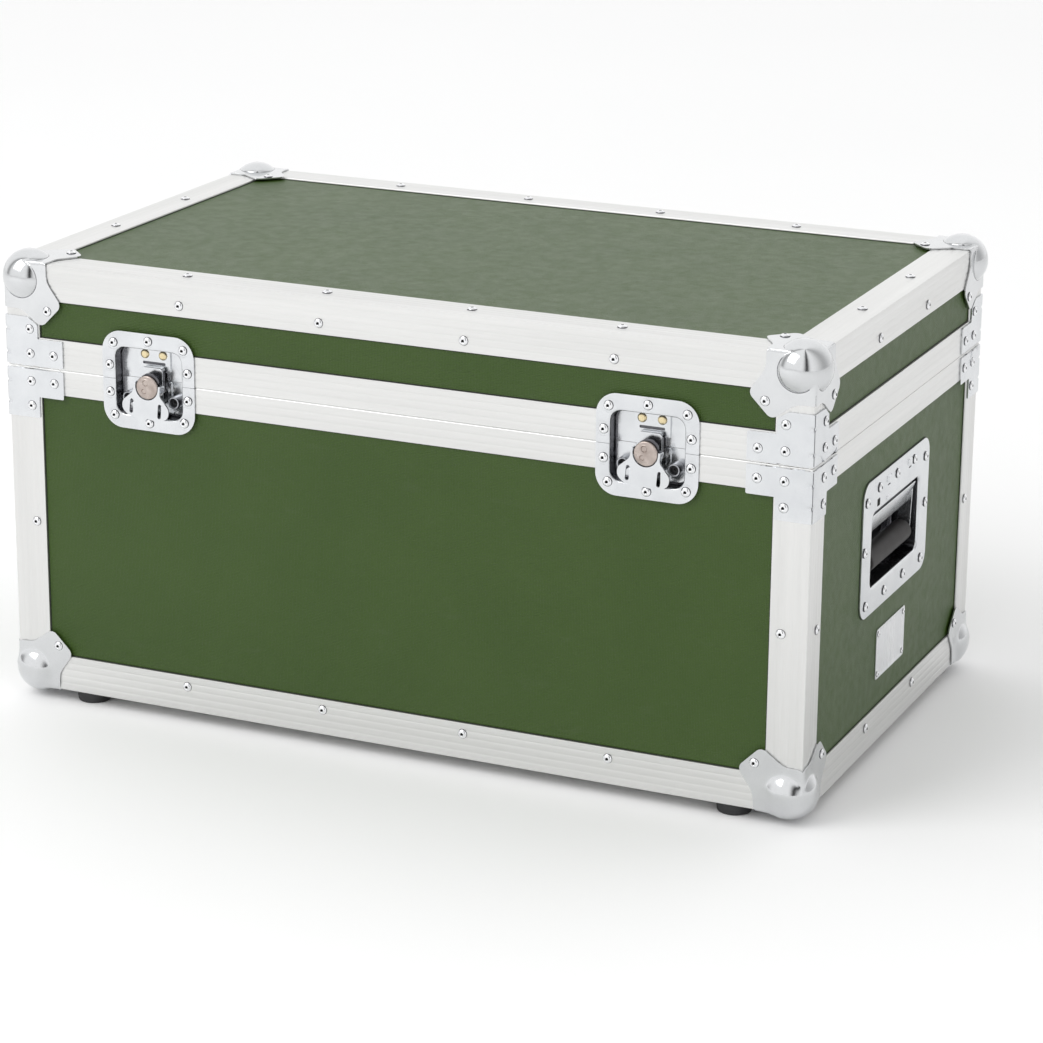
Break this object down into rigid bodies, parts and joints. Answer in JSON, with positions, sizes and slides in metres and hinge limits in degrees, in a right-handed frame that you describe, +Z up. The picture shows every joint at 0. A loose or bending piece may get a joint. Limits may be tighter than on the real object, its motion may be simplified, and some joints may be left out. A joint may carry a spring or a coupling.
{
  "type": "footlocker",
  "caption": "Hinged-lid transit trunk: green laminate panels in riveted aluminium edging, ball corners, twist latches, recessed end handles and rubber feet.",
  "frame": {"origin": "on the floor below the centre of the case", "axes": "+X along the length to the right end, +Y to the hinged back, +Z up; the latches face -Y"},
  "size_m": [0.818, 0.4958, 0.44],
  "materials": {
    "laminate": "satin, fine pebble grain",
    "extrusion": "satin anodised, fine ribs along its length",
    "bright_steel": "polished zinc plate",
    "zinc_steel": "bright zinc plate",
    "rivet_steel": "bright zinc plate",
    "brass_rivet": "satin",
    "nickel_head": "warm nickel plate",
    "spring_steel": "oiled spring wire",
    "rubber": "matt"
  },
  "bodies": {
    "base": {"back_panel": "laminate", "base_ball_corners": "bright_steel", "base_corner_braces": "zinc_steel", "base_edges_long": "extrusion", "base_edges_short": "extrusion", "base_posts": "extrusion", "base_rim_back": "extrusion", "base_rim_front": "extrusion", "base_rims_side": "extrusion", "base_rivets": "rivet_steel", "bottom_panel": "laminate", "feet": "rubber", "foot_screws": "zinc_steel", "front_panel": "laminate", "handle_pins": "zinc_steel", "handle_springs": "spring_steel", "handle_tray_left": "zinc_steel", "handle_tray_right": "zinc_steel", "hinge_lower_leaves": "zinc_steel", "hinge_pins": "zinc_steel", "latch_base_plates": "zinc_steel", "latch_buffers": "rubber", "latch_lower_dish_left": "zinc_steel", "latch_lower_dish_right": "zinc_steel", "left_panel": "laminate", "nameplate": "zinc_steel", "right_panel": "laminate"},
    "lid": {"hinge_upper_leaves": "zinc_steel", "keeper_rivets": "brass_rivet", "latch_keeper_left": "zinc_steel", "latch_keeper_right": "zinc_steel", "latch_upper_dish_left": "zinc_steel", "latch_upper_dish_right": "zinc_steel", "lid_back_panel": "laminate", "lid_ball_corners": "bright_steel", "lid_corner_braces": "zinc_steel", "lid_edges_long": "extrusion", "lid_edges_short": "extrusion", "lid_front_panel": "laminate", "lid_left_panel": "laminate", "lid_posts": "extrusion", "lid_right_panel": "laminate", "lid_rim_back": "extrusion", "lid_rim_front": "extrusion", "lid_rims_side": "extrusion", "lid_rivets": "rivet_steel", "lid_top_panel": "laminate"},
    "latch_hub_left": {"latch_hub_left": "nickel_head", "latch_pin_left": "zinc_steel"},
    "latch_wing_left": {"latch_wing_left": "zinc_steel"},
    "latch_claw_left": {"latch_claw_left": "zinc_steel"},
    "carry_handle_left": {"handle_bail_left": "zinc_steel", "handle_grip_left": "rubber"},
    "latch_hub_right": {"latch_hub_right": "nickel_head", "latch_pin_right": "zinc_steel"},
    "latch_wing_right": {"latch_wing_right": "zinc_steel"},
    "latch_claw_right": {"latch_claw_right": "zinc_steel"},
    "carry_handle_right": {"handle_bail_right": "zinc_steel", "handle_grip_right": "rubber"}
  },
  "joints": [
    {"name": "lid_hinge", "type": "hinge", "parent": "base", "child": "lid", "pos_m": [0, 0.2435, 0.33065], "axis": [-1, 0, 0], "range_deg": [0, 105]},
    {"name": "latch_turn_left", "type": "hinge", "parent": "base", "child": "latch_hub_left", "pos_m": [-0.2483, -0.2387, 0.3265], "axis": [0, -1, 0], "range_deg": [0, 180]},
    {"name": "latch_fold_left", "type": "hinge", "parent": "latch_hub_left", "child": "latch_wing_left", "pos_m": [-0.2483, -0.2387, 0.3265], "axis": [-0.9962, 0, 0.0872], "range_deg": [0, 90]},
    {"name": "claw_draw_left", "type": "slide", "parent": "base", "child": "latch_claw_left", "axis": [0, 0, 1], "range_m": [0, 0.0061]},
    {"name": "carry_swing_left", "type": "hinge", "parent": "base", "child": "carry_handle_left", "pos_m": [-0.3909, 0, 0.2335], "axis": [0, 1, 0], "range_deg": [0, 90], "stiffness_Nm_per_rad": 0.12, "springref_deg": -34.38},
    {"name": "latch_turn_right", "type": "hinge", "parent": "base", "child": "latch_hub_right", "pos_m": [0.2483, -0.2387, 0.3265], "axis": [0, -1, 0], "range_deg": [0, 180]},
    {"name": "latch_fold_right", "type": "hinge", "parent": "latch_hub_right", "child": "latch_wing_right", "pos_m": [0.2483, -0.2387, 0.3265], "axis": [-0.9962, 0, 0.0872], "range_deg": [0, 90]},
    {"name": "claw_draw_right", "type": "slide", "parent": "base", "child": "latch_claw_right", "axis": [0, 0, 1], "range_m": [0, 0.0061]},
    {"name": "carry_swing_right", "type": "hinge", "parent": "base", "child": "carry_handle_right", "pos_m": [0.3909, 0, 0.2335], "axis": [0, -1, 0], "range_deg": [0, 90], "stiffness_Nm_per_rad": 0.12, "springref_deg": -34.38}
  ],
  "couplings": [
    {"joint": "claw_draw_left", "follows": "latch_turn_left", "m_per_rad": 0.0019099},
    {"joint": "claw_draw_right", "follows": "latch_turn_right", "m_per_rad": 0.0019099}
  ]
}
